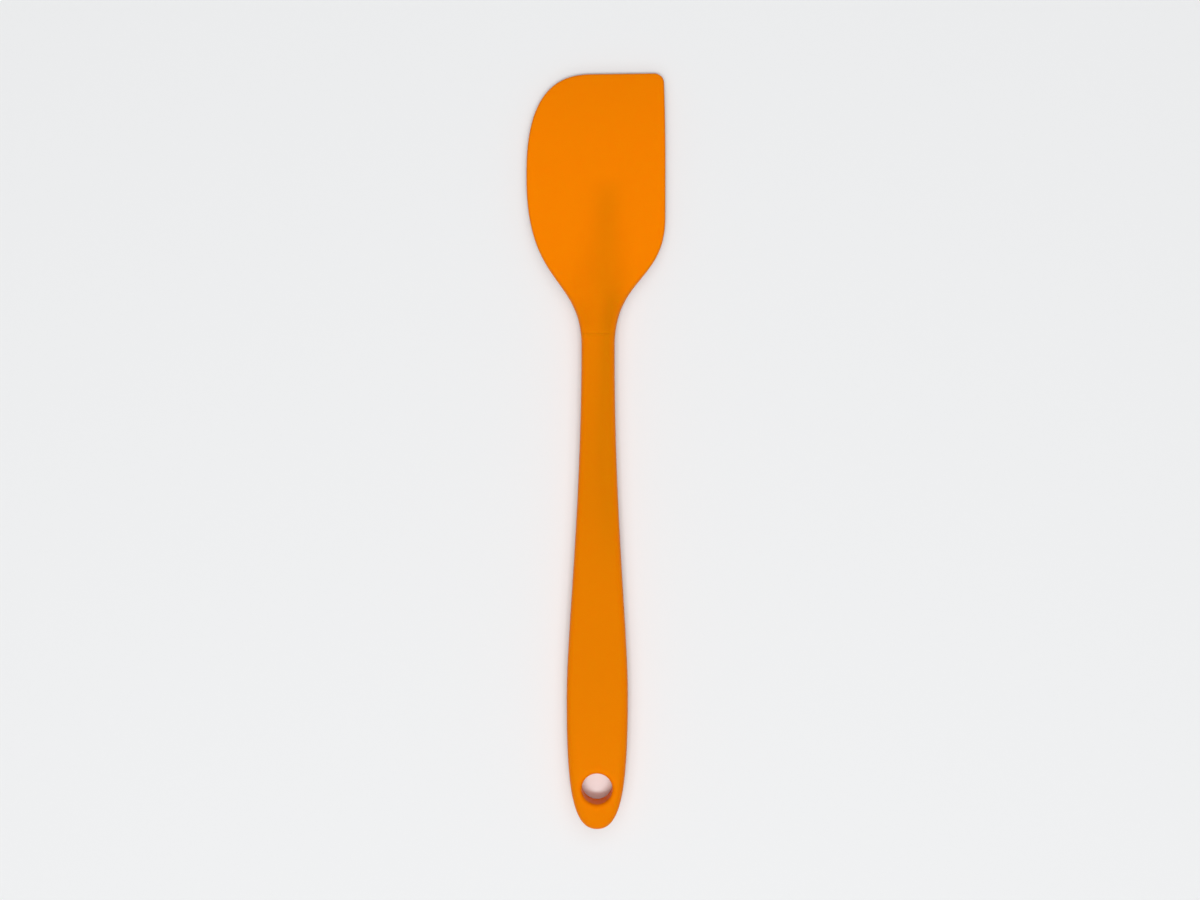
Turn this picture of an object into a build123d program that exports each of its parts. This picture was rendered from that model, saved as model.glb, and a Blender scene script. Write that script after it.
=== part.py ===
from build123d import *
import os
from math import sqrt

# Silicone spatula, lying flat. X across, Y along the handle towards the blade, Z up.
# The origin is the centre of the hanging hole, on the mid-plane of the handle.

# Runs along the handle, each from the place before it.
hole_to_end = 15.0
hole_to_widest_grip = 33.4
widest_grip_to_neck = 129.6
neck_to_butt_line = 4.5
neck_to_right_side = 48.0
neck_to_blade_side = 63.0
blade_side_run = 2.0
blade_side_to_top = 36.1

# Widths. The blade reaches further out on the left than on the right.
grip_width = 22.6
neck_width = 12.2
blade_left_reach = 26.7
blade_right_reach = 24.8
top_edge_left_reach = 2.3
right_side_lean = 0.7
top_edge_rise = 0.4
top_corner_radius = 3.5

# Thicknesses of the handle and of the blade's lip, the handle's edge, and the spread of the
# spine's foot.
handle_thickness = 11.0
handle_edge_radius = 2.2
blade_thickness = 2.0
spine_foot_reach = 12.0

# The hanging hole, through the handle's end.
hole_radius = 5.6
hole_rim_radius = 1.5

# The rigid core and the silicone over it.
handle_skin = 2.4
eye_skin = 1.2
eye_wall = 1.6
neck_to_core_taper = 6.0
tongue_width = 10.0
tongue_tip_thickness = 1.2
tongue_tip_lean = 3.2
tongue_tip_to_blade_side = 5.0

# Holes through the core that the silicone fills, so that the two can't slide apart.
grip_key_radius = 2.6
grip_key_pitch = 15.0
grip_key_count = 5
hole_to_first_grip_key = 20.0
tongue_key_radius = 1.7
tongue_key_pitch = 11.0
tongue_key_count = 2
tongue_tip_to_first_key = 8.0

# How far past the part each cut runs.
overrun = 5.0

# How long each curve of the outline keeps its first and last direction, of its own run.
end_lead_share = 0.76
end_trail_share = 0.733
grip_lead_share = 0.194
grip_trail_share = 0.478
left_lead_share = 0.419
left_trail_share = 0.652
right_lead_share = 0.545
right_trail_share = 0.5
sweep_lead_share = 0.883
sweep_trail_share = 0.457
lean_lead_share = 0.5
tongue_lead_share = 0.3

# Edge rounding is at most a share of the half thickness there.
# The hole's rim rounding is at most a share of the wall beside the hole.
rounding_share = 0.86
hole_rim_share = 0.265

# Sections of the blade between the butt line and the straight side: place on that run, then
# side height and crest height on the way from the blade's half thickness to the handle's.
blade_section_shares = (
    (0.0, 1.0, 1.0),
    (0.04, 0.97, 1.0),
    (0.10, 0.80, 0.96),
    (0.20, 0.46, 0.87),
    (0.31, 0.22, 0.76),
    (0.43, 0.10, 0.62),
    (0.55, 0.05, 0.47),
    (0.66, 0.02, 0.34),
    (0.77, 0.01, 0.23),
    (0.885, 0.0, 0.11),
    (1.0, 0.0, 0.0),
)
# Points of a section's crest on each side, of the way out to its rounded edge.
crest_point_shares = (0.12, 0.26, 0.42, 0.66, 1.0)

neck_y = hole_to_widest_grip + widest_grip_to_neck
butt_y = neck_y + neck_to_butt_line
side_y = neck_y + neck_to_blade_side
curve_y = side_y + blade_side_run
top_y = curve_y + blade_side_to_top
tongue_tip_y = side_y - tongue_tip_to_blade_side
half_handle = handle_thickness / 2
half_blade = blade_thickness / 2


def s_curve(start, end, lead_share, trail_share):
    """Curve between two (x, y) points that runs along the handle at both ends."""
    run = end[1] - start[1]
    return Bezier(
        start,
        (start[0], start[1] + lead_share * run),
        (end[0], end[1] - trail_share * run),
        end,
    )


def quarter_curve(start, end, lead_share, trail_share):
    """Curve that leaves its start across the handle and reaches its end along it."""
    return Bezier(
        start,
        (start[0] + lead_share * (end[0] - start[0]), start[1]),
        (end[0], end[1] - trail_share * (end[1] - start[1])),
        end,
    )


left_shoulder = s_curve(
    (-neck_width / 2, neck_y), (-blade_left_reach, side_y), left_lead_share, left_trail_share
)
right_shoulder = s_curve(
    (neck_width / 2, neck_y),
    (blade_right_reach, neck_y + neck_to_right_side),
    right_lead_share,
    right_trail_share,
)


def share_at(curve, place):
    """Share of a curve along the handle that lies before a place, or all of it if it ends there."""
    low = 0.0
    high = 1.0
    for _ in range(40):
        middle = (low + high) / 2
        if (curve @ middle).Y < place:
            low = middle
        else:
            high = middle
    return low


def x_at(curve, place):
    """Where a curve along the handle passes a place, or ends, if that is before the place."""
    return (curve @ share_at(curve, place)).X


def plane_across(place):
    """Plane across the handle at a place along it, facing the blade."""
    return Plane((0, place, 0), z_dir=(0, 1, 0))


# Middle line of the core's tongue, which the blade's spine follows.
tongue_line = s_curve((0, neck_y), (tongue_tip_lean, tongue_tip_y), tongue_lead_share, tongue_lead_share)


def edge_rounding(half_thickness):
    """Radius of the rounded edge where the form is this thick on each side of the mid-plane."""
    return min(handle_edge_radius, half_thickness * rounding_share)


def rim_edges(form, joint_plane):
    """Edges round the flat faces of a form, without those on the plane where it is joined."""
    return [
        edge
        for face in form.faces().filter_by(Axis.Z)
        for edge in face.edges()
        if not joint_plane.contains(edge.center())
    ]


def handle_form():
    """Handle from its end to the butt line: one thickness, rounded edges, hanging hole."""
    sides = []
    for side, shoulder in ((1, right_shoulder), (-1, left_shoulder)):
        widest = (side * grip_width / 2, hole_to_widest_grip)
        neck = (side * neck_width / 2, neck_y)
        sides.append(quarter_curve((0, -hole_to_end), widest, end_lead_share, end_trail_share))
        sides.append(s_curve(widest, neck, grip_lead_share, grip_trail_share))
        sides.append(shoulder.trim(0, share_at(shoulder, butt_y)))
    across_butt = Line((x_at(right_shoulder, butt_y), butt_y), (x_at(left_shoulder, butt_y), butt_y))
    form = extrude(Face(Wire(sides + [across_butt])), half_handle, both=True)
    form = fillet(rim_edges(form, plane_across(butt_y)), edge_rounding(half_handle))
    form -= Cylinder(hole_radius, handle_thickness + overrun)
    circles = form.edges().filter_by(GeomType.CIRCLE)
    hole_rims = circles.filter_by(lambda edge: edge.arc_center.length < handle_thickness)
    rim_rounding = min(hole_rim_radius, (grip_width / 2 - hole_radius) * hole_rim_share)
    return fillet(hole_rims, rim_rounding)


def blade_section(place, side_height, crest_height):
    """Closed section across the blade: two rounded sides and a crest over the core."""
    left = x_at(left_shoulder, place)
    right = x_at(right_shoulder, place)
    ridge = x_at(tongue_line, place)
    radius = edge_rounding(side_height)
    band = side_height - radius
    diagonal = radius * sqrt(1 / 2)

    def corner(x, way_in, way_up):
        return ThreePointArc(
            (x, place, way_up * band),
            (x + way_in * (radius - diagonal), place, way_up * (band + diagonal)),
            (x + way_in * radius, place, way_up * side_height),
        )

    def crest(way_up):
        left_run = left + radius - ridge
        right_run = right - radius - ridge
        across = [left_run * share for share in reversed(crest_point_shares)]
        across += [0.0]
        across += [right_run * share for share in crest_point_shares]
        points = []
        for run in across:
            foot = min(spine_foot_reach, abs(left_run if run < 0 else right_run))
            away = min(abs(run) / foot, 1.0)
            height = side_height + (crest_height - side_height) * (1 - away**2) ** 2
            points.append((ridge + run, place, way_up * height))
        return Spline(points, tangents=[(1, 0, 0), (1, 0, 0)])

    def band_line(x):
        return Line((x, place, -band), (x, place, band))

    edges = [crest(1), crest(-1), band_line(left), band_line(right)]
    for way_up in (1, -1):
        edges.append(corner(left, 1, way_up))
        edges.append(corner(right, -1, way_up))
    return Face(Wire(edges))


def shoulder_form():
    """Root, shoulders and spine of the blade, lofted from the butt line to the straight side."""
    sections = []
    for place_share, side_share, crest_share in blade_section_shares:
        place = butt_y + place_share * (side_y - butt_y)
        side_height = half_blade + side_share * (half_handle - half_blade)
        crest_height = half_blade + crest_share * (half_handle - half_blade)
        sections.append(blade_section(place, side_height, crest_height))
    return loft(sections)


def blade_plate_form():
    """Upper blade: a thin plate with the big sweep on the left and a small corner on the right."""
    left_foot = (-blade_left_reach, side_y)
    right_foot = (blade_right_reach, side_y)
    left_curve = (-blade_left_reach, curve_y)
    right_curve = (blade_right_reach, curve_y)
    sweep_end = (-top_edge_left_reach, top_y)
    corner = (blade_right_reach - right_side_lean, top_y + top_edge_rise)
    lean_control = (blade_right_reach, curve_y + lean_lead_share * blade_side_to_top)
    edges = [
        Line(left_foot, left_curve),
        quarter_curve(sweep_end, left_curve, sweep_trail_share, sweep_lead_share),
        Line(sweep_end, corner),
        Bezier(right_curve, lean_control, corner),
        Line(right_curve, right_foot),
        Line(right_foot, left_foot),
    ]
    form = extrude(Face(Wire(edges)), half_blade, both=True)
    upright_edges = form.edges().filter_by(Axis.Z)
    form = fillet(upright_edges.sort_by_distance(corner)[0], top_corner_radius)
    return fillet(rim_edges(form, plane_across(side_y)), edge_rounding(half_blade))


def core_form():
    """Rigid core: eye round the hanging hole, grip paddle, rod through the neck, flat tongue."""
    eye_inner_radius = hole_radius + eye_skin
    eye_outer_radius = eye_inner_radius + eye_wall
    paddle_reach = grip_width / 2 - handle_skin
    rod_reach = neck_width / 2 - handle_skin
    tongue_reach = tongue_width / 2
    tongue_shoulder_y = tongue_tip_y - tongue_reach
    sides = []
    for side in (1, -1):
        eye = (side * eye_outer_radius, 0)
        widest = (side * paddle_reach, hole_to_widest_grip)
        rod = (side * rod_reach, neck_y)
        tongue = (tongue_tip_lean + side * tongue_reach, tongue_shoulder_y)
        sides.append(s_curve(eye, widest, grip_lead_share, grip_trail_share))
        sides.append(s_curve(widest, rod, grip_lead_share, grip_trail_share))
        sides.append(s_curve(rod, tongue, tongue_lead_share, tongue_lead_share))
    tip = ThreePointArc(
        (tongue_tip_lean - tongue_reach, tongue_shoulder_y),
        (tongue_tip_lean, tongue_tip_y),
        (tongue_tip_lean + tongue_reach, tongue_shoulder_y),
    )
    across_eye = Line((-eye_outer_radius, 0), (eye_outer_radius, 0))
    half_core = half_handle - handle_skin
    plan = extrude(Face(Wire(sides + [tip, across_eye])), half_core, both=True)
    plan += Cylinder(eye_outer_radius, 2 * half_core)

    taper_y = neck_y + neck_to_core_taper
    half_tip = tongue_tip_thickness / 2
    back_y = -eye_outer_radius - overrun
    profile = Polyline(
        (back_y, -half_core - overrun),
        (taper_y, -half_core),
        (tongue_tip_y, -half_tip),
        (tongue_tip_y, half_tip),
        (taper_y, half_core),
        (back_y, half_core + overrun),
        close=True,
    )
    wedge = extrude(Plane.YZ * Face(Wire(profile)), grip_width, both=True)
    core = plan & wedge
    core -= Cylinder(eye_inner_radius, handle_thickness)
    for index in range(grip_key_count):
        place = hole_to_first_grip_key + index * grip_key_pitch
        core -= Pos(0, place, 0) * Cylinder(grip_key_radius, handle_thickness)
    for index in range(tongue_key_count):
        place = tongue_tip_y - tongue_tip_to_first_key - index * tongue_key_pitch
        core -= Pos(x_at(tongue_line, place), place, 0) * Cylinder(tongue_key_radius, handle_thickness)
    return core


def main():
    """Take the core out of the blade and out of the handle's sleeve, and write all three."""
    os.makedirs("parts", exist_ok=True)
    core = core_form()
    blade = shoulder_form() + blade_plate_form() - core
    handle_sleeve = handle_form() - core
    export_step(blade, "parts/blade.step")
    export_step(handle_sleeve, "parts/handle_sleeve.step")
    export_step(core, "parts/core.step")


main()
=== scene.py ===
import logging
import math
from dataclasses import dataclass
from enum import Enum

import bpy
import numpy as np
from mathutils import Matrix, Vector
from mathutils.geometry import delaunay_2d_cdt


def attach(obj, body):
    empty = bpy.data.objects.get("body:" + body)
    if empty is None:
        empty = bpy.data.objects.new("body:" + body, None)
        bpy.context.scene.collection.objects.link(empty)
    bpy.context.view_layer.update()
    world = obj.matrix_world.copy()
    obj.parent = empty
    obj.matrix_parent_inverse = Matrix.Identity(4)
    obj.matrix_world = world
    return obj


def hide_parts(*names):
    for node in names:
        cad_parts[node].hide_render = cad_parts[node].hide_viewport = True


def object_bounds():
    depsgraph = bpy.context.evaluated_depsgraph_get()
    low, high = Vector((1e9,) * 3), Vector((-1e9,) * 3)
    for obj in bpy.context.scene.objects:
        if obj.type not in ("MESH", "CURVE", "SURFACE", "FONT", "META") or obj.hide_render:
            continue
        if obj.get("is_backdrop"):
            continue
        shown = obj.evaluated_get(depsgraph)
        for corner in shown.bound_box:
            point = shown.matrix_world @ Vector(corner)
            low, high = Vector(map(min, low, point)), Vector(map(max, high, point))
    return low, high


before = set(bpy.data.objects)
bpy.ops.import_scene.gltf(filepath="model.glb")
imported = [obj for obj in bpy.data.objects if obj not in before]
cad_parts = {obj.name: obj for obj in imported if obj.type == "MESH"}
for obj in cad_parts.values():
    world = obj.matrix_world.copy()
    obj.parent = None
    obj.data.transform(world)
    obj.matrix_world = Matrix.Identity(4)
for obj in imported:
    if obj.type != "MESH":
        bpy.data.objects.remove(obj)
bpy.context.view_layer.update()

# Silicone spatula, in metres. X across, Y along the handle towards the blade, Z up.
# The origin is the centre of the hanging hole, on the mid-plane of the handle.

log = logging.getLogger("spatula")
MM = 0.001
SHADE_LAYER = "core_and_painted_shade"


class Grade(Enum):
    """The two silicone grades, one softer, one firmer; both take the same colours."""

    BLADE = "blade_silicone"
    HANDLE = "handle_silicone"


def linear_colour(hex_colour: str) -> tuple[float, float, float, float]:
    """Turn an sRGB hex colour into a linear one.

    Args:
        hex_colour: six hex digits, with or without a leading hash.

    Returns:
        Linear red, green, blue and an alpha of one.
    """
    digits = hex_colour.lstrip("#")
    values = [int(digits[i:i + 2], 16) / 255 for i in (0, 2, 4)]
    linear = [v / 12.92 if v <= 0.04045 else ((v + 0.055) / 1.055) ** 2.4 for v in values]
    return (linear[0], linear[1], linear[2], 1.0)


def add_node(tree: bpy.types.NodeTree, kind: str, settings: dict | None = None,
             values: dict | None = None, links: dict | None = None) -> bpy.types.Node:
    """Add a node to a tree with its settings, socket values and incoming links.

    Args:
        tree: the node tree.
        kind: the node's type name.
        settings: node properties by name.
        values: input socket values by socket name or index.
        links: output sockets by the input socket name or index that they feed.

    Returns:
        The new node.
    """
    node = tree.nodes.new(kind)
    for name, value in (settings or {}).items():
        setattr(node, name, value)
    for socket, value in (values or {}).items():
        node.inputs[socket].default_value = value
    for socket, output in (links or {}).items():
        tree.links.new(output, node.inputs[socket])
    return node


def new_material(name: str) -> tuple[bpy.types.Material, bpy.types.NodeTree]:
    """Make an empty node material.

    Args:
        name: the material's name.

    Returns:
        The material and its emptied node tree.
    """
    material = bpy.data.materials.new(name)
    material.use_nodes = True
    material.node_tree.nodes.clear()
    return material, material.node_tree


def spread_noise(tree: bpy.types.NodeTree, noise: bpy.types.NodeSocket, low: float,
                 high: float) -> bpy.types.NodeSocket:
    """Spread the middle range of a noise between two values.

    Args:
        tree: the node tree.
        noise: the noise's output socket, most of which lies between 0.3 and 0.7.
        low, high: what the ends of that range become.

    Returns:
        The output socket with the new values.
    """
    spread = add_node(tree, "ShaderNodeMapRange", {},
                      {"From Min": 0.3, "From Max": 0.7, "To Min": low, "To Max": high},
                      {"Value": noise})
    return spread.outputs["Result"]


@dataclass(frozen=True)
class SiliconeFinish:
    """Moulded silicone rubber: a soft diffuse skin with a weak broad gloss from a blasted mould."""

    grade: Grade
    scatter_weight: float
    scatter_depth: float
    # Bright and dim copies of the orange; the dim one also serves as painted shade.
    bright: str = "#FA8500"
    dim: str = "#D97A00"
    roughness: float = 0.5
    # Silicone rubber refracts at 1.41, so its gloss is weaker than that of hard plastics.
    ior: float = 1.41
    # The gloss shows orange in the picture, so it takes the pigment's tint.
    gloss_tint: str = "#FF9A20"
    gloss_level: float = 0.4
    # Light goes a millimetre or two into pigmented silicone, red furthest, so edges glow.
    scatter_spread: tuple[float, float, float] = (1.0, 0.3, 0.03)
    # Blast grain of the mould, about 0.12 mm, drawn at 0.3 mm so that it shows.
    grain: float = 0.3 * MM
    grain_height: float = 0.006 * MM
    grain_strength: float = 0.6
    # Slow unevenness of the pigment and of the gloss, about 35 mm across.
    cloud: float = 35 * MM
    cloud_gain: tuple[float, float] = (0.994, 1.006)
    gloss_swing: float = 0.04
    # Lint and flour dust, which clings to silicone, in specks of about 0.4 mm.
    dust: str = "#F2D9B8"
    dust_weight: float = 0.05
    speck: float = 1.4 * MM
    # Size of the smallest and the largest speck, as a part of that spacing.
    speck_parts: tuple[float, float] = (0.05, 0.11)

    def material(self) -> bpy.types.Material:
        """Build the material.

        Returns:
            The silicone material, whose colour dims as the vertex layer says: for the core beneath, and
            as painted shade and painted light.
        """
        material, tree = new_material(self.grade.value)
        place = add_node(tree, "ShaderNodeTexCoord").outputs["Object"]
        # The shade layer mixes bright and dim: the core's darkening, painted shade and painted light.
        shade = add_node(tree, "ShaderNodeAttribute", {"attribute_name": SHADE_LAYER})
        body = add_node(tree, "ShaderNodeMix", {"data_type": "RGBA"},
                        {"A": linear_colour(self.bright), "B": linear_colour(self.dim)},
                        {"Factor": shade.outputs["Fac"]})
        cloud = add_node(tree, "ShaderNodeTexNoise", {},
                         {"Scale": 1 / self.cloud, "Detail": 3.0, "Roughness": 0.55}, {"Vector": place})
        cloud_gain = spread_noise(tree, cloud.outputs["Fac"], *self.cloud_gain)
        tinted = add_node(tree, "ShaderNodeVectorMath", {"operation": "SCALE"}, {},
                          {0: body.outputs["Result"], "Scale": cloud_gain})
        cells = add_node(tree, "ShaderNodeTexVoronoi", {}, {"Scale": 1 / self.speck}, {"Vector": place})
        specks = add_node(tree, "ShaderNodeMapRange", {},
                          {"From Min": self.speck_parts[0], "From Max": self.speck_parts[1],
                           "To Min": self.dust_weight, "To Max": 0.0},
                          {"Value": cells.outputs["Distance"]})
        dusted = add_node(tree, "ShaderNodeMix", {"data_type": "RGBA"},
                          {"B": linear_colour(self.dust)},
                          {"Factor": specks.outputs["Result"], "A": tinted.outputs["Vector"]})
        roughness = spread_noise(tree, cloud.outputs["Fac"], self.roughness - self.gloss_swing,
                                 self.roughness + self.gloss_swing)
        grain = add_node(tree, "ShaderNodeTexNoise", {},
                         {"Scale": 1 / self.grain, "Detail": 2.0}, {"Vector": place})
        bump = add_node(tree, "ShaderNodeBump", {},
                        {"Strength": self.grain_strength, "Distance": self.grain_height},
                        {"Height": grain.outputs["Fac"]})
        shader = add_node(tree, "ShaderNodeBsdfPrincipled", {},
                          {"IOR": self.ior, "Subsurface Weight": self.scatter_weight,
                           "Subsurface Scale": self.scatter_depth,
                           "Subsurface Radius": self.scatter_spread,
                           "Specular IOR Level": self.gloss_level,
                           "Specular Tint": linear_colour(self.gloss_tint)},
                          {"Base Color": dusted.outputs["Result"], "Roughness": roughness,
                           "Normal": bump.outputs["Normal"]})
        add_node(tree, "ShaderNodeOutputMaterial", {}, {}, {"Surface": shader.outputs["BSDF"]})
        return material


@dataclass(frozen=True)
class NylonFinish:
    """Injection-moulded nylon with short glass fibre: dark, satin, with faint pale flow streaks."""

    colour: str = "#3A3734"
    streak: str = "#55514B"
    roughness: float = 0.5
    ior: float = 1.53
    # Fibres lie along the flow, about 0.3 mm by 3 mm when drawn so that they show.
    fibre_width: float = 0.3 * MM
    fibre_length: float = 3.0 * MM
    fibre_height: float = 0.02 * MM
    fibre_strength: float = 0.4

    def material(self) -> bpy.types.Material:
        """Build the material.

        Returns:
            The nylon material, streaked along the handle.
        """
        material, tree = new_material("glass_filled_nylon")
        place = add_node(tree, "ShaderNodeTexCoord").outputs["Object"]
        stretch = add_node(tree, "ShaderNodeVectorMath", {"operation": "MULTIPLY"},
                           {1: (1 / self.fibre_width, 1 / self.fibre_length, 1 / self.fibre_width)},
                           {0: place})
        fibres = add_node(tree, "ShaderNodeTexNoise", {}, {"Scale": 1.0, "Detail": 2.0},
                          {"Vector": stretch.outputs["Vector"]})
        colour = add_node(tree, "ShaderNodeMix", {"data_type": "RGBA"},
                          {"A": linear_colour(self.colour), "B": linear_colour(self.streak)},
                          {"Factor": fibres.outputs["Fac"]})
        bump = add_node(tree, "ShaderNodeBump", {},
                        {"Strength": self.fibre_strength, "Distance": self.fibre_height},
                        {"Height": fibres.outputs["Fac"]})
        shader = add_node(tree, "ShaderNodeBsdfPrincipled", {},
                          {"Roughness": self.roughness, "IOR": self.ior},
                          {"Base Color": colour.outputs["Result"], "Normal": bump.outputs["Normal"]})
        add_node(tree, "ShaderNodeOutputMaterial", {}, {}, {"Surface": shader.outputs["BSDF"]})
        return material


@dataclass(frozen=True)
class PaperFinish:
    """Plain matt paper sweep under the object: pale, without gloss."""

    colour: str = "#F0F1F2"
    # What it sends back up at the object, less than white so that little orange comes down again.
    bounce: str = "#BEBEBE"
    roughness: float = 0.9
    gloss_level: float = 0.2

    def material(self) -> bpy.types.Material:
        """Build the material.

        Returns:
            The paper material.
        """
        material, tree = new_material("paper_sweep")
        rays = add_node(tree, "ShaderNodeLightPath")
        direct = add_node(tree, "ShaderNodeMath", {"operation": "MAXIMUM"}, {},
                          {0: rays.outputs["Is Camera Ray"], 1: rays.outputs["Is Glossy Ray"]})
        seen = add_node(tree, "ShaderNodeMath", {"operation": "MAXIMUM"}, {},
                        {0: direct.outputs["Value"], 1: rays.outputs["Is Transmission Ray"]})
        colour = add_node(tree, "ShaderNodeMix", {"data_type": "RGBA"},
                          {"A": linear_colour(self.bounce), "B": linear_colour(self.colour)},
                          {"Factor": seen.outputs["Value"]})
        shader = add_node(tree, "ShaderNodeBsdfPrincipled", {},
                          {"Roughness": self.roughness, "Specular IOR Level": self.gloss_level},
                          {"Base Color": colour.outputs["Result"]})
        add_node(tree, "ShaderNodeOutputMaterial", {}, {}, {"Surface": shader.outputs["BSDF"]})
        return material


def cubic_points(start: tuple, lead: tuple, trail: tuple, end: tuple, count: int = 400) -> np.ndarray:
    """Sample a plane cubic curve.

    Args:
        start, lead, trail, end: its four control points.
        count: how many points to return.

    Returns:
        Points in order, one row each.
    """
    t = np.linspace(0, 1, count)[:, None]
    p = [np.array(point, float) for point in (start, lead, trail, end)]
    return (1 - t) ** 3 * p[0] + 3 * (1 - t) ** 2 * t * p[1] + 3 * (1 - t) * t**2 * p[2] + t**3 * p[3]


def s_curve(start: tuple, end: tuple, lead_share: float, trail_share: float) -> np.ndarray:
    """Sample a curve that runs along the handle at both ends.

    Args:
        start, end: its (x, y) ends.
        lead_share, trail_share: how long it keeps each end's direction, of its run.

    Returns:
        Points in order.
    """
    run = end[1] - start[1]
    return cubic_points(start, (start[0], start[1] + lead_share * run),
                        (end[0], end[1] - trail_share * run), end)


def quarter_curve(start: tuple, end: tuple, lead_share: float, trail_share: float) -> np.ndarray:
    """Sample a curve that leaves its start across the handle and reaches its end along it.

    Args:
        start, end: its (x, y) ends.
        lead_share, trail_share: how long it keeps each end's direction, of its span there.

    Returns:
        Points in order.
    """
    lead = (start[0] + lead_share * (end[0] - start[0]), start[1])
    trail = (end[0], end[1] - trail_share * (end[1] - start[1]))
    return cubic_points(start, lead, trail, end)


def smooth_table(places: np.ndarray, stations: np.ndarray, values: np.ndarray) -> np.ndarray:
    """Read a smooth curve through a table, level before its first and after its last station.

    Args:
        places: where to read it.
        stations: rising places of the table.
        values: its values there.

    Returns:
        The value at each place.
    """
    slopes = np.gradient(values, stations)
    slopes[0] = 0.0
    slopes[-1] = 0.0
    inside = np.clip(places, stations[0], stations[-1])
    index = np.clip(np.searchsorted(stations, inside) - 1, 0, len(stations) - 2)
    step = stations[index + 1] - stations[index]
    t = (inside - stations[index]) / step
    return ((2 * t**3 - 3 * t**2 + 1) * values[index] + (t**3 - 2 * t**2 + t) * step * slopes[index]
            + (3 * t**2 - 2 * t**3) * values[index + 1] + (t**3 - t**2) * step * slopes[index + 1])


def smooth_step(value: np.ndarray) -> np.ndarray:
    """Ease from zero to one as the value goes from zero to one."""
    t = np.clip(value, 0, 1)
    return t * t * (3 - 2 * t)


def resample(chain: np.ndarray, longest: float, turn: float = math.radians(5),
             shortest: float = 1e-6 * MM) -> np.ndarray:
    """Space the points of a chain by length on straight runs and by turn on bends.

    Args:
        chain: dense points in order.
        longest: spacing on a straight run.
        turn: change of direction that calls for a new point.
        shortest: steps under this length are left out.

    Returns:
        The new chain, with the same ends.
    """
    steps = np.diff(chain, axis=0)
    lengths = np.hypot(steps[:, 0], steps[:, 1])
    keep = lengths > shortest
    chain = np.vstack([chain[:1], chain[1:][keep]])
    steps = steps[keep]
    lengths = lengths[keep]
    headings = np.unwrap(np.arctan2(steps[:, 1], steps[:, 0]))
    turns = np.abs(np.diff(headings, prepend=headings[0]))
    measure = np.concatenate([[0.0], np.cumsum(lengths / longest + turns / turn)])
    count = max(int(math.ceil(measure[-1])) + 1, 2)
    wanted = np.linspace(0, measure[-1], count)
    return np.column_stack([np.interp(wanted, measure, chain[:, i]) for i in (0, 1)])


def quarter_gaps(turn: float) -> list[float]:
    """How far a quarter round of radius one has come away from the wall, at each step of its turn.

    Args:
        turn: degrees from step to step.

    Returns:
        The distances, from zero to one.
    """
    count = round(90 / turn)
    return [1 - math.cos(math.radians(i * turn)) for i in range(count + 1)]


def distance_to_chain(points: np.ndarray, chain: np.ndarray, block_size: int = 1000) -> np.ndarray:
    """Distance from each point to a chain of segments.

    Args:
        points: plane points.
        chain: the segments' ends, in order.
        block_size: how many points are measured at a time.

    Returns:
        One distance for each point.
    """
    start = chain[:-1]
    run = chain[1:] - start
    size = np.maximum((run**2).sum(axis=1), 1e-18)
    nearest = np.empty(len(points))
    for first in range(0, len(points), block_size):
        block = points[first:first + block_size]
        offset = block[:, None, :] - start[None]
        t = np.clip((offset * run[None]).sum(axis=2) / size, 0, 1)
        gap = offset - t[:, :, None] * run[None]
        nearest[first:first + block_size] = np.sqrt((gap**2).sum(axis=2).min(axis=1))
    return nearest


def inside_loop(points: np.ndarray, loop: np.ndarray) -> np.ndarray:
    """Tell which points lie inside a closed loop.

    Args:
        points: plane points.
        loop: the loop's corners, without the first one repeated.

    Returns:
        True for each point inside.
    """
    after = np.roll(loop, -1, axis=0)
    crossings = np.zeros(len(points), int)
    for (x0, y0), (x1, y1) in zip(loop, after):
        spans = (y0 > points[:, 1]) != (y1 > points[:, 1])
        if y0 != y1:
            x = x0 + (points[:, 1] - y0) * (x1 - x0) / (y1 - y0)
            crossings += spans & (points[:, 0] < x)
    return crossings % 2 == 1


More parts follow.
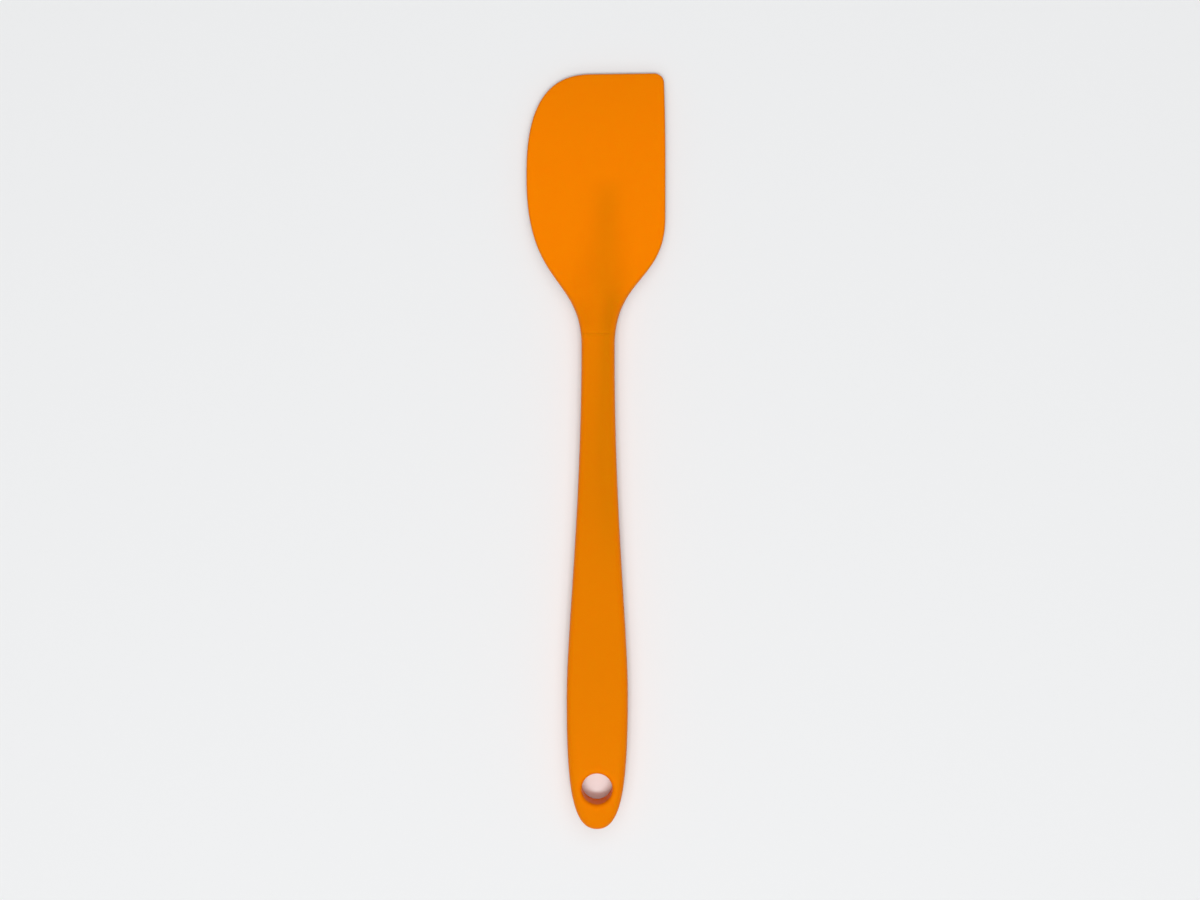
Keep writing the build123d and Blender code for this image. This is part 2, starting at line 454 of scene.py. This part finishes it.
@dataclass(frozen=True)
class SpatulaShape:
    """The outside of the whole spatula: its outline in plan and its height over the mid-plane."""

    hole_to_end: float = 15.0 * MM
    hole_to_widest_grip: float = 33.4 * MM
    widest_grip_to_neck: float = 129.6 * MM
    neck_to_butt_line: float = 4.5 * MM
    neck_to_right_side: float = 48.0 * MM
    neck_to_blade_side: float = 63.0 * MM
    blade_side_run: float = 2.0 * MM
    blade_side_to_top: float = 36.1 * MM
    grip_width: float = 22.6 * MM
    neck_width: float = 12.2 * MM
    blade_left_reach: float = 26.7 * MM
    blade_right_reach: float = 24.8 * MM
    top_edge_left_reach: float = 2.3 * MM
    right_side_lean: float = 0.7 * MM
    top_edge_rise: float = 0.4 * MM
    top_corner_radius: float = 3.5 * MM
    handle_thickness: float = 11.0 * MM
    handle_edge_radius: float = 2.2 * MM
    blade_thickness: float = 2.0 * MM
    spine_foot_reach: float = 12.0 * MM
    hole_radius: float = 5.6 * MM
    hole_rim_radius: float = 1.5 * MM
    tongue_width: float = 10.0 * MM
    tongue_tip_lean: float = 3.2 * MM
    tongue_tip_to_blade_side: float = 5.0 * MM
    # How long each curve of the outline keeps its first and last direction, of its own run.
    end_lead_share: float = 0.76
    end_trail_share: float = 0.733
    grip_lead_share: float = 0.194
    grip_trail_share: float = 0.478
    left_lead_share: float = 0.419
    left_trail_share: float = 0.652
    right_lead_share: float = 0.545
    right_trail_share: float = 0.5
    sweep_lead_share: float = 0.883
    sweep_trail_share: float = 0.457
    lean_lead_share: float = 0.5
    tongue_lead_share: float = 0.3
    # Edge rounding is at most a share of the half thickness there.
    rounding_share: float = 0.86
    corner_points: int = 40
    # Place on the run from the butt line to the straight side, then side and crest height on
    # the way from the blade's half thickness to the handle's.
    section_shares: tuple = (
        (0.0, 1.0, 1.0), (0.04, 0.97, 1.0), (0.10, 0.80, 0.96), (0.20, 0.46, 0.87),
        (0.31, 0.22, 0.76), (0.43, 0.10, 0.62), (0.55, 0.05, 0.47), (0.66, 0.02, 0.34),
        (0.77, 0.01, 0.23), (0.885, 0.0, 0.11), (1.0, 0.0, 0.0),
    )

    @property
    def neck_y(self) -> float:
        """Place of the narrowest neck."""
        return self.hole_to_widest_grip + self.widest_grip_to_neck

    @property
    def butt_y(self) -> float:
        """Place of the line where the sleeve meets the blade."""
        return self.neck_y + self.neck_to_butt_line

    @property
    def side_y(self) -> float:
        """Place where both sides of the blade run straight."""
        return self.neck_y + self.neck_to_blade_side

    @property
    def tongue_tip_y(self) -> float:
        """Place of the tip of the core's tongue."""
        return self.side_y - self.tongue_tip_to_blade_side

    def handle_side(self, side: int) -> np.ndarray:
        """Outline of one side of the handle, from the tip of its end to the neck.

        Args:
            side: 1 for the right, -1 for the left.

        Returns:
            Dense points in order.
        """
        widest = (side * self.grip_width / 2, self.hole_to_widest_grip)
        neck = (side * self.neck_width / 2, self.neck_y)
        end = quarter_curve((0, -self.hole_to_end), widest, self.end_lead_share, self.end_trail_share)
        grip = s_curve(widest, neck, self.grip_lead_share, self.grip_trail_share)
        return np.vstack([end, grip[1:]])

    def shoulder(self, side: int) -> np.ndarray:
        """Outline of one shoulder of the blade, from the neck to its straight side.

        Args:
            side: 1 for the right, -1 for the left.

        Returns:
            Dense points in order.
        """
        neck = (side * self.neck_width / 2, self.neck_y)
        if side > 0:
            end = (self.blade_right_reach, self.neck_y + self.neck_to_right_side)
            return s_curve(neck, end, self.right_lead_share, self.right_trail_share)
        end = (-self.blade_left_reach, self.side_y)
        return s_curve(neck, end, self.left_lead_share, self.left_trail_share)

    def blade_top(self) -> np.ndarray:
        """Outline of the upper blade, from the left side over the top to the right side.

        Returns:
            Dense points in order.
        """
        curve_y = self.side_y + self.blade_side_run
        top_y = curve_y + self.blade_side_to_top
        sweep_end = (-self.top_edge_left_reach, top_y)
        corner = np.array((self.blade_right_reach - self.right_side_lean, top_y + self.top_edge_rise))
        sweep = quarter_curve(sweep_end, (-self.blade_left_reach, curve_y),
                              self.sweep_trail_share, self.sweep_lead_share)[::-1]
        foot = np.array((self.blade_right_reach, curve_y))
        bend = np.array((self.blade_right_reach, curve_y + self.lean_lead_share * self.blade_side_to_top))
        # A curve with a single bend point, written as a cubic.
        lean = cubic_points(corner, corner + (bend - corner) * 2 / 3, foot + (bend - foot) * 2 / 3, foot)
        return np.vstack([sweep, self.rounded_corner(np.array(sweep_end), corner, lean)])

    def rounded_corner(self, before: np.ndarray, corner: np.ndarray, lean: np.ndarray) -> np.ndarray:
        """Round the corner between the straight top edge and the leaning right side.

        Args:
            before: the top edge's left end.
            corner: where the two edges would meet.
            lean: the right side, from that corner down.

        Returns:
            The arc and what is left of the right side.
        """
        along = (before - corner) / np.linalg.norm(before - corner)
        down = lean[self.corner_points // 2] - corner
        down /= np.linalg.norm(down)
        half_angle = math.acos(float(np.clip(along @ down, -1, 1))) / 2
        setback = self.top_corner_radius / math.tan(half_angle)
        bisector = (along + down) / np.linalg.norm(along + down)
        centre = corner + bisector * self.top_corner_radius / math.sin(half_angle)
        first = corner + along * setback - centre
        last = corner + down * setback - centre
        start = math.atan2(first[1], first[0])
        sweep = math.atan2(last[1], last[0]) - start
        angles = start + np.linspace(0, 1, self.corner_points) * sweep
        arc = centre + self.top_corner_radius * np.column_stack([np.cos(angles), np.sin(angles)])
        rest = lean[np.linalg.norm(lean - corner, axis=1) > setback]
        return np.vstack([arc, rest])

    def side_chain(self) -> np.ndarray:
        """The whole outline, from the left shoulder clockwise round to the tip and back.

        Returns:
            Dense closed chain.
        """
        left = self.shoulder(-1)
        right = np.vstack([self.shoulder(1), [[self.blade_right_reach, self.side_y]]])
        return np.vstack([self.handle_side(-1), left, self.blade_top(), right[::-1],
                          self.handle_side(1)[::-1]])

    def ridge_x(self, y: np.ndarray) -> np.ndarray:
        """Where the spine's ridge lies across the blade.

        Args:
            y: places along the handle.

        Returns:
            Distance of the ridge from the handle's axis.
        """
        line = s_curve((0, self.neck_y), (self.tongue_tip_lean, self.tongue_tip_y),
                       self.tongue_lead_share, self.tongue_lead_share)
        return np.interp(y, line[:, 1], line[:, 0])

    def section_heights(self, y: np.ndarray) -> tuple[np.ndarray, np.ndarray]:
        """Height of a section at its sides and at its crest.

        Args:
            y: places along the handle.

        Returns:
            Both heights over the mid-plane, at each place.
        """
        table = np.array(self.section_shares)
        stations = self.butt_y + table[:, 0] * (self.side_y - self.butt_y)
        low = self.blade_thickness / 2
        span = (self.handle_thickness - self.blade_thickness) / 2
        side = low + span * smooth_table(y, stations, table[:, 1])
        crest = low + span * smooth_table(y, stations, table[:, 2])
        return side, crest

    def edge_radius(self, side_height: np.ndarray) -> np.ndarray:
        """Radius of the rounded edge where it ends at this height over the mid-plane."""
        return np.minimum(side_height * self.rounding_share, self.handle_edge_radius)

    def height(self, points: np.ndarray, chain: np.ndarray) -> np.ndarray:
        """Height of the upper face over the mid-plane.

        Args:
            points: plane points on the form.
            chain: its whole outline.

        Returns:
            One height for each point.
        """
        y = points[:, 1]
        side, crest = self.section_heights(y)
        radius = self.edge_radius(side)
        away = np.minimum(distance_to_chain(points, chain), radius)
        edge = side - radius + np.sqrt(np.maximum(radius**2 - (radius - away) ** 2, 0))
        left = self.shoulder(-1)
        right = self.shoulder(1)
        ridge = self.ridge_x(y)
        left_run = ridge - np.interp(y, left[:, 1], left[:, 0]) - radius
        right_run = np.interp(y, right[:, 1], right[:, 0]) - radius - ridge
        run = points[:, 0] - ridge
        foot = np.minimum(self.spine_foot_reach, np.where(run < 0, left_run, right_run))
        rise = (1 - np.minimum(np.abs(run) / foot, 1.0) ** 2) ** 2
        height = edge + (crest - side) * rise
        from_hole = np.hypot(points[:, 0], points[:, 1]) - self.hole_radius
        lip = np.clip(self.hole_rim_radius - from_hole, 0, self.hole_rim_radius)
        return height - (self.hole_rim_radius - np.sqrt(self.hole_rim_radius**2 - lip**2))


@dataclass(frozen=True)
class CoreAndPaintedShade:
    """How much darker the orange is painted: along the handle, in a band by neck and tongue, and as
    painted shade and painted light.
    """

    # Places along the handle, then the general dimming there, as a part of the deepest.
    level_places: tuple = (-16, 0, 13, 36, 69, 91, 106, 136, 151, 162, 171, 180, 190, 200)
    levels: tuple = (0.50, 0.52, 0.57, 0.68, 0.72, 0.78, 0.86, 0.80, 0.70, 0.64, 0.52, 0.27, 0.07, 0.0)
    # The darker band on the right of the neck and over the tongue: how deep it is, where its darkest line
    # runs, and how far it fades to the left and to the right, all in millimetres.
    band_places: tuple = (69, 91, 106, 136, 151, 162, 173, 180, 190, 199, 208, 217, 223, 227)
    band_depths: tuple = (0.0, 0.1, 0.17, 0.35, 0.4, 0.47, 0.42, 0.43, 0.45, 0.45, 0.45, 0.4, 0.16, 0.0)
    band_centres: tuple = (4.3, 4.3, 4.3, 4.3, 4.3, 4.3, 4.2, 3.9, 2.4, 2.6, 2.9, 3.0, 3.3, 3.4)
    left_reaches: tuple = (7, 7, 7, 7, 6.5, 6, 7, 8, 9, 9, 8.5, 8.5, 8.5, 8.5)
    right_reaches: tuple = (60, 60, 60, 60, 60, 60, 30, 14, 9.5, 9.5, 8.5, 8.5, 8.5, 8.5)
    # Near the outline: painted light brightens the neck, painted shade dims the end; no core lies beneath
    # there.
    edge_shade_gains: tuple = (0.16, 0.24, 0.27, 0.08, 0.05, 0, -0.05, -0.08, -0.12, -0.12, -0.05, 0, 0, 0)
    edge_shade_reach: float = 3.6 * MM
    # Painted light: right at the outline and round the hole, the colour is drawn towards the bright one.
    painted_light_reach: float = 2.4 * MM
    painted_light_share: float = 0.85
    # Painted shade: the blade darkens towards its lip.
    lip_start: float = 195 * MM
    lip_run: float = 69 * MM
    lip_painted_shade: float = 0.36

    def read(self, y: np.ndarray, places: tuple, values: tuple) -> np.ndarray:
        """Read one of the tables at places along the handle."""
        return smooth_table(y, np.array(places) * MM, np.array(values, float))

    def depth(self, points: np.ndarray, outline: np.ndarray, hole_radius: float) -> np.ndarray:
        """Dimming at plane points, with painted shade and painted light.

        Args:
            points: plane points.
            outline: outline of the whole spatula.
            hole_radius: radius of the hanging hole, round the origin.

        Returns:
            Zero for the bright colour, one for the dim one.
        """
        y = points[:, 1]
        off_line = points[:, 0] - self.read(y, self.band_places, self.band_centres) * MM
        left = self.read(y, self.band_places, self.left_reaches) * MM
        right = self.read(y, self.band_places, self.right_reaches) * MM
        band = 1 - smooth_step(np.abs(off_line) / np.where(off_line < 0, left, right))
        to_edge = distance_to_chain(points, outline)
        # Painted light and painted shade near the outline.
        edge_shade = 1 - smooth_step(to_edge / self.edge_shade_reach)
        to_hole = np.abs(np.hypot(points[:, 0], points[:, 1]) - hole_radius)
        # Painted light at the outline and round the hole.
        glow = 1 - smooth_step(np.minimum(to_edge, to_hole) / self.painted_light_reach)
        # Painted shade towards the lip.
        lip = np.clip((y - self.lip_start) / self.lip_run, 0, 1) ** 2
        depth = (self.read(y, self.level_places, self.levels)
                 + band * self.read(y, self.band_places, self.band_depths)
                 + edge_shade * self.read(y, self.level_places, self.edge_shade_gains))
        return depth * (1 - self.painted_light_share * glow) + self.lip_painted_shade * lip


@dataclass
class SkinPiece:
    """A silicone piece: an upper and a lower face from the shape, joined round its edge."""

    name: str
    node: str
    shape: SpatulaShape
    finish: SiliconeFinish
    shading: CoreAndPaintedShade = CoreAndPaintedShade()
    # Spacing of the outline's points and of the points between, and the part of that spacing
    # that stays free round the rings of the edge and of the hole.
    edge_step: float = 1.1 * MM
    face_step: float = 1.5 * MM
    edge_clear_share: float = 0.45
    hole_clear_share: float = 0.35
    # Steps round the rounded edges, in degrees from the wall, and round the hole.
    edge_turn: float = 11.25
    rim_turn: float = 15.0
    butt_turn: float = 30.0
    hole_sides: int = 72
    bore_levels: tuple = (0.75, 0.5, 0.25, 0, -0.25, -0.5, -0.75)
    # Points this close together are one, and a surface that turns more than this has a crease.
    weld: float = 1e-4 * MM
    crease: float = math.radians(50)
    # Thin line of flash where the two halves of the mould meet.
    flash_height: float = 0.05 * MM
    flash_half_width: float = 0.07 * MM
    flash_wall_share: float = 0.7
    # Points this close to the outline lie on it.
    on_outline: float = 1e-3 * MM
    # Softened edge where the sleeve and the blade butt together, which draws a faint line.
    butt_round: float = 0.05 * MM

    def outline(self) -> np.ndarray:
        """Outline of the piece, clockwise, from one end of its butt line to the other."""
        raise NotImplementedError

    def has_hole(self) -> bool:
        """Tell whether the hanging hole goes through this piece."""
        return False

    def chain(self) -> np.ndarray:
        """Outline points, with extra ones close to the butt line.

        Returns:
            Points in order, both ends on the butt line.
        """
        dense = self.outline()
        points = resample(dense, self.edge_step)
        butt = self.shape.butt_y
        away = np.abs(points[:, 1] - butt)
        middle = points[away > 2 * self.butt_round]
        first = [self.near_butt(dense, gap) for gap in self.butt_gaps()]
        last = [self.near_butt(dense[::-1], gap) for gap in self.butt_gaps()]
        return np.vstack([first, middle, last[::-1]])

    def butt_gaps(self) -> list[float]:
        """Distances from the butt line at which its softened edge has points."""
        return [self.butt_round * gap for gap in quarter_gaps(self.butt_turn)]

    def near_butt(self, dense: np.ndarray, gap: float) -> np.ndarray:
        """Point of a dense outline at a distance from the butt line, near its start.

        Args:
            dense: outline that starts on the butt line.
            gap: distance from that line.

        Returns:
            One plane point.
        """
        near = dense[:len(dense) // 4]
        away = np.abs(near[:, 1] - self.shape.butt_y)
        order = np.argsort(away)
        return np.array([np.interp(gap, away[order], near[order, i]) for i in (0, 1)])

    def plan_points(self, chain: np.ndarray, whole: np.ndarray) -> tuple[np.ndarray, int]:
        """Plane points of the piece: its outline, rings inside it, its hole and a grid.

        Args:
            chain: outline points, both ends on the butt line.
            whole: outline of the whole spatula.

        Returns:
            All points, the outline first, and the number of points on the closed boundary.
        """
        shape = self.shape
        tangent = np.gradient(chain, axis=0)
        inward = np.column_stack([tangent[:, 1], -tangent[:, 0]])
        inward /= np.linalg.norm(inward, axis=1)[:, None]
        for end in (0, -1):
            inward[end] = (-math.copysign(1, chain[end, 0]), 0)
        side, _ = shape.section_heights(chain[:, 1])
        radius = shape.edge_radius(side)
        rings = [chain + inward * (radius * gap)[:, None] for gap in quarter_gaps(self.edge_turn)[1:]]
        inner = rings[-1]
        count = max(int(abs(inner[-1, 0] - inner[0, 0]) / self.face_step), 2)
        middle = np.linspace(inner[-1, 0], inner[0, 0], count + 1)[1:-1]
        across = [ring[-1, 0] for ring in rings] + list(middle) + [ring[0, 0] for ring in rings[::-1]]
        butt = np.column_stack([across, np.full(len(across), shape.butt_y)])
        boundary = np.vstack([chain, butt])
        loose = [ring[1:-1] for ring in rings]
        into = math.copysign(1, chain[len(chain) // 2, 1] - shape.butt_y)
        for gap in self.butt_gaps()[1:]:
            row = butt.copy()
            row[:, 1] += into * gap
            loose.append(row)
        low = boundary.min(axis=0)
        high = boundary.max(axis=0)
        columns = np.arange(low[0], high[0], self.face_step)
        rows = np.arange(low[1], high[1], self.face_step)
        grid = np.array([(x + (0.5 * self.face_step if j % 2 else 0), y)
                         for j, y in enumerate(rows) for x in columns])
        grid = grid[inside_loop(grid, boundary)]
        clear = self.edge_clear_share * self.face_step
        limit = shape.edge_radius(shape.section_heights(grid[:, 1])[0]) + clear
        grid = grid[distance_to_chain(grid, whole) > limit]
        grid = grid[np.abs(grid[:, 1] - shape.butt_y) > self.butt_round + clear]
        loose.append(grid)
        loose = np.vstack(loose)
        if self.has_hole():
            reach = shape.hole_radius + shape.hole_rim_radius + self.hole_clear_share * self.face_step
            loose = loose[np.hypot(loose[:, 0], loose[:, 1]) > reach]
            loose = np.vstack([loose, self.hole_rings()])
        return np.vstack([boundary, loose]), len(boundary)

    def hole_rings(self) -> np.ndarray:
        """Rings of points round the hanging hole, the bore's own ring first."""
        shape = self.shape
        turns = np.linspace(0, 2 * math.pi, self.hole_sides + 1)[:-1]
        circle = np.column_stack([np.cos(turns), np.sin(turns)])
        radii = [shape.hole_radius + shape.hole_rim_radius * gap for gap in quarter_gaps(self.rim_turn)]
        return np.vstack([circle * radius for radius in radii])

    def build(self) -> bpy.types.Object:
        """Build the piece's mesh, dress it and give it its place in the model.

        Returns:
            The finished object.
        """
        whole = self.shape.side_chain()
        chain = self.chain()
        points, rim_count = self.plan_points(chain, whole)
        edges = [(i, (i + 1) % rim_count) for i in range(rim_count)]
        plan = delaunay_2d_cdt([Vector(p) for p in points], edges, [], 0, self.weld)
        flat = np.array([tuple(v) for v in plan[0]])
        triangles = np.array([tuple(f) for f in plan[2]])
        centres = flat[triangles].mean(axis=1)
        wanted = inside_loop(centres, points[:rim_count])
        if self.has_hole():
            bore_side = self.shape.hole_radius * math.cos(math.pi / self.hole_sides)
            wanted &= np.hypot(centres[:, 0], centres[:, 1]) > bore_side
        mesh = self.shell(flat, triangles[wanted], whole)
        piece = bpy.data.objects.new(self.name, mesh)
        bpy.context.collection.objects.link(piece)
        piece.data.materials.append(self.finish.material())
        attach(piece, "root")
        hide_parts(self.node)
        return piece

    def soften_butt(self, solid: np.ndarray) -> np.ndarray:
        """Draw the section in a little where it ends on the butt line.

        Args:
            solid: points of one face.

        Returns:
            The same points with the softened edge.
        """
        gap = np.clip(np.abs(solid[:, 1] - self.shape.butt_y), 0, self.butt_round)
        drop = self.butt_round - np.sqrt(self.butt_round**2 - (self.butt_round - gap) ** 2)
        drawn = solid.copy()
        drawn[:, 0] *= 1 - drop / (self.shape.neck_width / 2)
        drawn[:, 2] *= 1 - drop / (self.shape.handle_thickness / 2)
        return drawn

    def shell(self, flat: np.ndarray, triangles: np.ndarray, whole: np.ndarray) -> bpy.types.Mesh:
        """Join the upper and lower faces into one closed shell.

        Args:
            flat: plane points.
            triangles: faces between them.
            whole: outline of the whole spatula.

        Returns:
            The closed mesh, with the shade layer.
        """
        used, triangles = np.unique(triangles, return_inverse=True)
        triangles = triangles.reshape(-1, 3)
        flat = flat[used]
        a, b, c = (flat[triangles[:, i]] for i in range(3))
        area = (b[:, 0] - a[:, 0]) * (c[:, 1] - a[:, 1]) - (c[:, 0] - a[:, 0]) * (b[:, 1] - a[:, 1])
        triangles[area < 0] = triangles[area < 0][:, ::-1]
        height = self.shape.height(flat, whole)
        upper = self.soften_butt(np.column_stack([flat, height]))
        lower = upper * (1, 1, -1)
        count = len(upper)
        faces = [tuple(t) for t in triangles]
        faces += [tuple(t[::-1] + count) for t in triangles]
        points = [upper, lower]
        half_edges = [pair for i, j, k in triangles for pair in ((i, j), (j, k), (k, i))]
        known = set(half_edges)
        border = [(i, j) for i, j in half_edges if (j, i) not in known]
        total = 2 * count
        levels = {}
        for i, j in border:
            columns = []
            for vertex in (i, j):
                if vertex not in levels:
                    column = self.wall_column(upper[vertex], flat[vertex], whole)
                    levels[vertex] = [vertex, *range(total, total + len(column)), vertex + count]
                    total += len(column)
                    if len(column):
                        points.append(np.array(column))
                columns.append(levels[vertex])
            faces += self.wall_faces(columns[0], columns[1])
        vertices = np.vstack(points)
        mesh = bpy.data.meshes.new(self.name)
        mesh.from_pydata(vertices.tolist(), [], [tuple(int(v) for v in f) for f in faces])
        mesh.validate()
        layer = mesh.attributes.new(SHADE_LAYER, "FLOAT", "POINT")
        depth = self.shading.depth(vertices[:, :2], whole, self.shape.hole_radius)
        layer.data.foreach_set("value", depth.astype(np.float32))
        mesh.shade_smooth()
        mesh.set_sharp_from_angle(angle=self.crease)
        mesh.update()
        return mesh

    def wall_column(self, top: np.ndarray, plan: np.ndarray, whole: np.ndarray) -> list:
        """Points between the upper and the lower face at one point of the edge.

        Args:
            top: the point on the upper face.
            plan: its place in plan.
            whole: outline of the whole spatula.

        Returns:
            Points from top to bottom, none of them on a face.
        """
        shape = self.shape
        if self.has_hole() and math.hypot(*plan) < shape.hole_radius + self.flash_half_width:
            return [(top[0], top[1], top[2] * level) for level in self.bore_levels]
        if distance_to_chain(plan[None], whole)[0] > self.on_outline:
            return []
        nearest = np.linalg.norm(whole - plan, axis=1).argmin()
        run = whole[(nearest + 1) % len(whole)] - whole[nearest - 1]
        outward = np.array([-run[1], run[0]]) / max(np.linalg.norm(run), 1e-12)
        half = min(self.flash_half_width, self.flash_wall_share * top[2])
        crest = top[:2] + outward * self.flash_height
        return [(top[0], top[1], half), (crest[0], crest[1], 0), (top[0], top[1], -half)]

    def wall_faces(self, first: list[int], second: list[int]) -> list[tuple[int, ...]]:
        """Faces between two wall columns.

        Args:
            first, second: vertex indices from top to bottom.

        Returns:
            Faces that look outwards.
        """
        if len(first) == len(second):
            pairs = zip(first[:-1], first[1:], second[:-1], second[1:])
            return [(a0, a1, b1, b0) for a0, a1, b0, b1 in pairs]
        return [tuple(first) + tuple(second[::-1])]


@dataclass
class HandleSleeve(SkinPiece):
    """Silicone jacket of the handle, from its end with the hanging hole to the butt line."""

    def outline(self) -> np.ndarray:
        """Outline from the right end of the butt line round the tip to the left end."""
        shape = self.shape
        right = np.vstack([shape.handle_side(1), self.below_butt(shape.shoulder(1))])
        left = np.vstack([shape.handle_side(-1), self.below_butt(shape.shoulder(-1))])
        return np.vstack([right[::-1], left[1:]])

    def below_butt(self, shoulder: np.ndarray) -> np.ndarray:
        """Part of a shoulder before the butt line, ending on it."""
        butt = self.shape.butt_y
        x = np.interp(butt, shoulder[:, 1], shoulder[:, 0])
        return np.vstack([shoulder[(shoulder[:, 1] < butt)][1:], [[x, butt]]])

    def has_hole(self) -> bool:
        """The hanging hole goes through the sleeve."""
        return True


@dataclass
class Blade(SkinPiece):
    """Flexible silicone blade, from the butt line to its thin lip."""

    def outline(self) -> np.ndarray:
        """Outline from the left end of the butt line over the top to the right end."""
        shape = self.shape
        left = self.above_butt(shape.shoulder(-1))
        right = np.vstack([self.above_butt(shape.shoulder(1)), [[shape.blade_right_reach, shape.side_y]]])
        return np.vstack([left, shape.blade_top(), right[::-1]])

    def above_butt(self, shoulder: np.ndarray) -> np.ndarray:
        """Part of a shoulder after the butt line, starting on it."""
        butt = self.shape.butt_y
        x = np.interp(butt, shoulder[:, 1], shoulder[:, 0])
        return np.vstack([[[x, butt]], shoulder[shoulder[:, 1] > butt]])


@dataclass
class Core:
    """The rigid core, sealed inside: it keeps its own solid and gets its finish."""

    node: str = "core"
    finish: NylonFinish = NylonFinish()

    def dress(self) -> bpy.types.Object:
        """Give the core's solid its material.

        Returns:
            The dressed object.
        """
        piece = bpy.data.objects[self.node]
        material = self.finish.material()
        if piece.material_slots:
            for slot in piece.material_slots:
                slot.material = material
        else:
            piece.data.materials.append(material)
        return piece


@dataclass
class Studio:
    """Paper sweep, soft light and the camera straight above."""

    floor_z: float
    # The photograph is 1200 pixels wide, and one pixel is 0.371 mm on the mid-plane.
    picture_pixels: int = 1200
    pixel: float = 0.371 * MM
    camera_height: float = 0.56
    middle: tuple[float, float] = (0.8 * MM, 124.75 * MM)
    roll: float = 0.0023
    floor_size: float = 3.2
    strip_place: tuple[float, float, float] = (0.0, -0.53, 2.4)
    strip_size: tuple[float, float] = (1.02, 0.28)
    strip_power: float = 29.0
    roof_place: tuple[float, float, float] = (0.0, 0.12, 2.6)
    roof_size: tuple[float, float] = (2.8, 5.6)
    roof_power: float = 45.5
    sky: float = 0.18
    backdrop: str = "#EFEFEF"

    def floor(self) -> bpy.types.Object:
        """Lay the sweep.

        Returns:
            The floor, marked as stage.
        """
        half = self.floor_size / 2
        x, y = self.middle
        ways = ((-1, -1), (1, -1), (1, 1), (-1, 1))
        corners = [(x + half * way_x, y + half * way_y, self.floor_z) for way_x, way_y in ways]
        mesh = bpy.data.meshes.new("paper_sweep")
        mesh.from_pydata(corners, [], [(0, 1, 2, 3)])
        floor = bpy.data.objects.new("paper_sweep", mesh)
        bpy.context.collection.objects.link(floor)
        mesh.materials.append(PaperFinish().material())
        floor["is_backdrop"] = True
        return floor

    def lamp(self, name: str, place: tuple, size: tuple, power: float) -> bpy.types.Object:
        """Hang a rectangular lamp that faces the object.

        Args:
            name: the lamp's name.
            place: its centre.
            size: its width and depth.
            power: its power in watts.

        Returns:
            The lamp.
        """
        light = bpy.data.lights.new(name, "AREA")
        light.shape = "RECTANGLE"
        light.size, light.size_y = size
        light.energy = power
        lamp = bpy.data.objects.new(name, light)
        bpy.context.collection.objects.link(lamp)
        lamp.location = place
        aim = Vector((self.middle[0], self.middle[1], 0)) - Vector(place)
        lamp.rotation_euler = aim.to_track_quat("-Z", "Y").to_euler()
        return lamp

    def world(self) -> bpy.types.World:
        """Light everything softly from all round, with a plain pale backdrop for the camera.

        Returns:
            The world.
        """
        world = bpy.data.worlds.new("soft_room")
        world.use_nodes = True
        tree = world.node_tree
        tree.nodes.clear()
        rays = add_node(tree, "ShaderNodeLightPath")
        room = add_node(tree, "ShaderNodeBackground", {}, {"Color": (1, 1, 1, 1), "Strength": self.sky})
        wall = add_node(tree, "ShaderNodeBackground", {},
                        {"Color": linear_colour(self.backdrop), "Strength": 1.0})
        mix = add_node(tree, "ShaderNodeMixShader", {}, {},
                       {0: rays.outputs["Is Camera Ray"], 1: room.outputs[0], 2: wall.outputs[0]})
        add_node(tree, "ShaderNodeOutputWorld", {}, {}, {"Surface": mix.outputs[0]})
        bpy.context.scene.world = world
        return world

    def camera(self) -> bpy.types.Object:
        """Hang the camera straight above the middle of the picture.

        Returns:
            The scene's camera.
        """
        lens = bpy.data.cameras.new("camera")
        lens.sensor_fit = "HORIZONTAL"
        lens.lens = lens.sensor_width * self.camera_height / (self.picture_pixels * self.pixel)
        camera = bpy.data.objects.new("camera", lens)
        bpy.context.collection.objects.link(camera)
        camera.location = (*self.middle, self.camera_height)
        camera.rotation_euler = (0, 0, self.roll)
        bpy.context.scene.camera = camera
        return camera

    def build(self) -> None:
        """Set up the whole studio and the plain view transform."""
        self.floor()
        self.lamp("strip_lamp", self.strip_place, self.strip_size, self.strip_power)
        self.lamp("roof_lamp", self.roof_place, self.roof_size, self.roof_power)
        self.world()
        self.camera()
        bpy.context.scene.view_settings.view_transform = "Standard"


def main() -> None:
    """Build and dress every piece, then the studio round them."""
    shape = SpatulaShape()
    blade_finish = SiliconeFinish(Grade.BLADE, scatter_weight=0.3, scatter_depth=0.9 * MM)
    handle_finish = SiliconeFinish(Grade.HANDLE, scatter_weight=0.3, scatter_depth=0.9 * MM)
    pieces = [
        HandleSleeve("sleeve_skin", "handle_sleeve", shape, handle_finish).build(),
        Blade("blade_skin", "blade", shape, blade_finish).build(),
        Core().dress(),
    ]
    for piece in pieces:
        log.info("%s: %d faces", piece.name, len(piece.data.polygons))
    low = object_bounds()[0]
    Studio(floor_z=low[2]).build()
    log.info("studio built")


if __name__ == "__main__":
    logging.basicConfig(level=logging.INFO)
    main()
